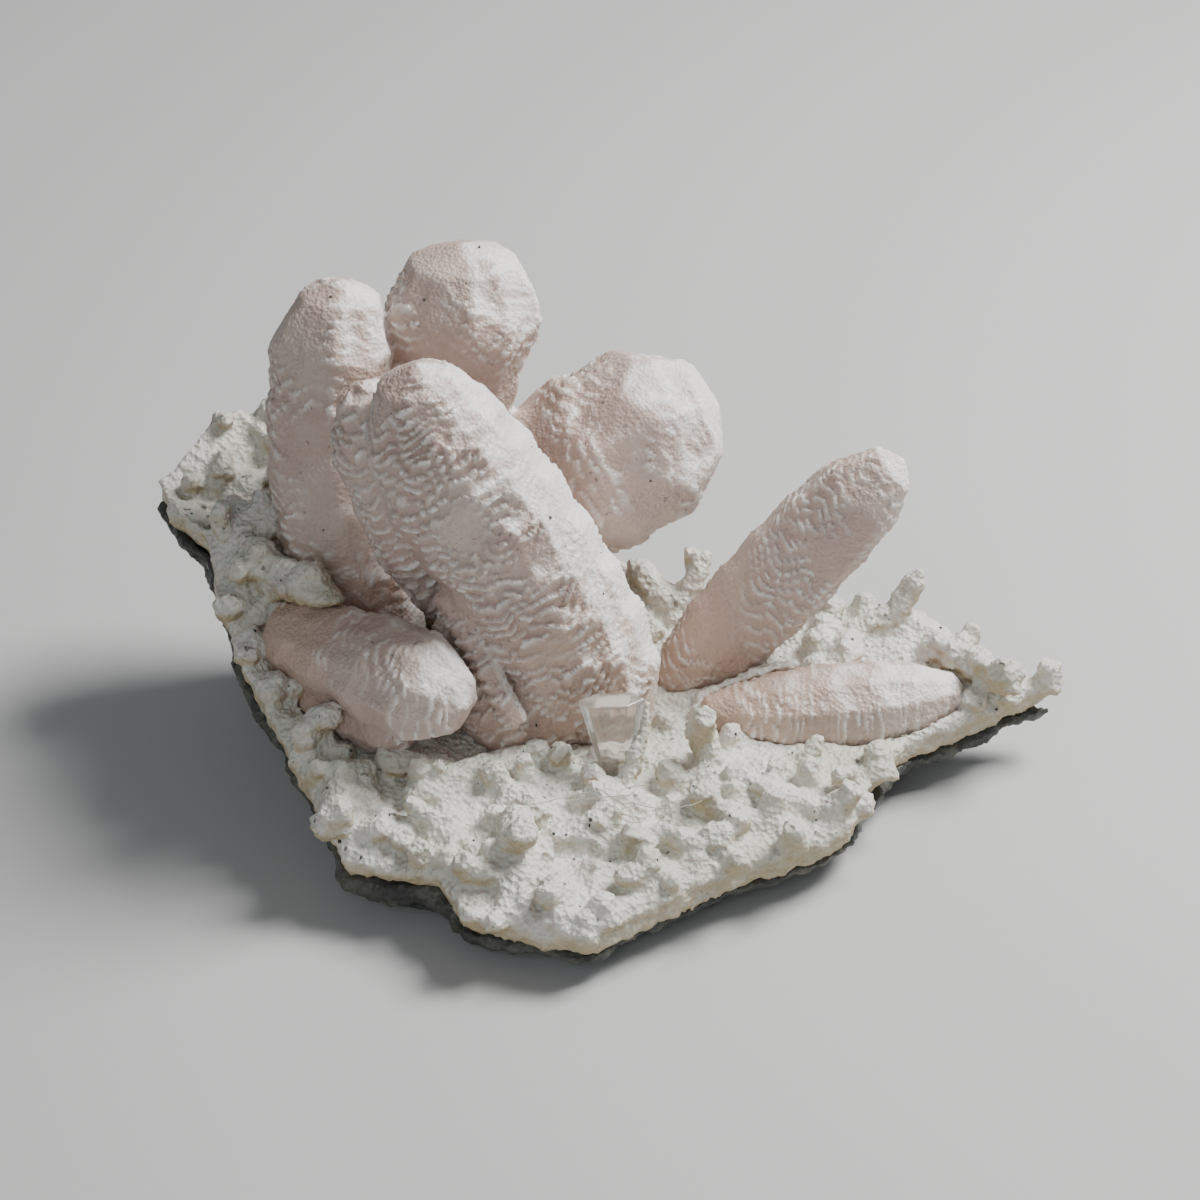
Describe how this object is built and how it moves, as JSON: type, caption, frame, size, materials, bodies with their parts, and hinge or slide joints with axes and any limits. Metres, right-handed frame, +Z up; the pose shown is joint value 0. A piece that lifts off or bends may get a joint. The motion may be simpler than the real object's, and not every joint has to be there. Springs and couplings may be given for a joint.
{
  "type": "manganoan calcite specimen",
  "caption": "Mineral specimen: pale pink barrel-shaped calcite crystals in a spray on a drusy white crust over a basalt plate, resting on a flat cut",
  "frame": {"origin": "on the plane that the specimen rests on, below the front of the crystal spray", "axes": "X along the plate's long side to the right, Y to the back, Z up"},
  "size_m": [0.1702, 0.109, 0.0965],
  "materials": {
    "basalt": "rough, broken, pitted rock",
    "druse": "sugary, finely crystalline crust",
    "calcite": "satin, translucent, with fine growth ledges",
    "clear_calcite": "glassy"
  },
  "bodies": {
    "root": {"basalt_matrix": "basalt", "drusy_crust": "druse", "main_crystal": "calcite", "rear_crystals": "calcite", "right_crystal": "calcite", "lying_crystal": "calcite", "left_crystal": "calcite", "clear_crystal": "clear_calcite"}
  },
  "joints": []
}
